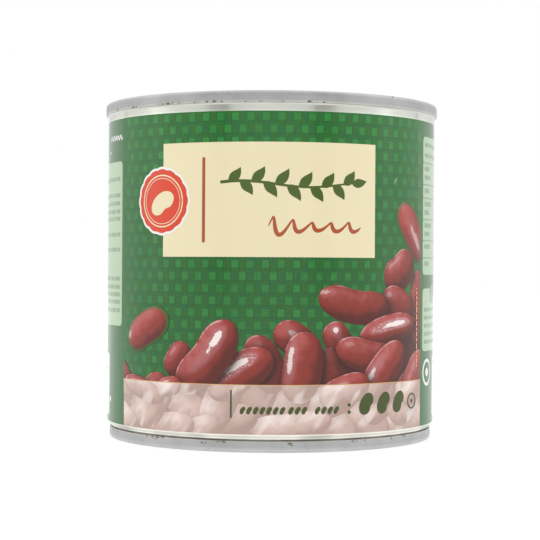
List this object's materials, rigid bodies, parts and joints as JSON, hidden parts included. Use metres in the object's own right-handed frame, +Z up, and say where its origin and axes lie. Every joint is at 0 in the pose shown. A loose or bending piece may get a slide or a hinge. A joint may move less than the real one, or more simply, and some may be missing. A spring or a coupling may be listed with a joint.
{
  "type": "canned beans",
  "caption": "Short round food can with a printed steel wall and a double-seamed end at top and bottom.",
  "frame": {"origin": "centre of the ring that the can stands on, at the lowest point of the lower seam", "axes": "+Z up along the can's axis; the front of the print faces -Y, with +X to its right"},
  "size_m": [0.085, 0.085, 0.0842],
  "materials": {
    "printed_body": "gloss varnish over print",
    "tinplate": "satin"
  },
  "bodies": {
    "root": {"can_body": "printed_body", "top_end": "tinplate", "bottom_end": "tinplate"}
  },
  "joints": []
}
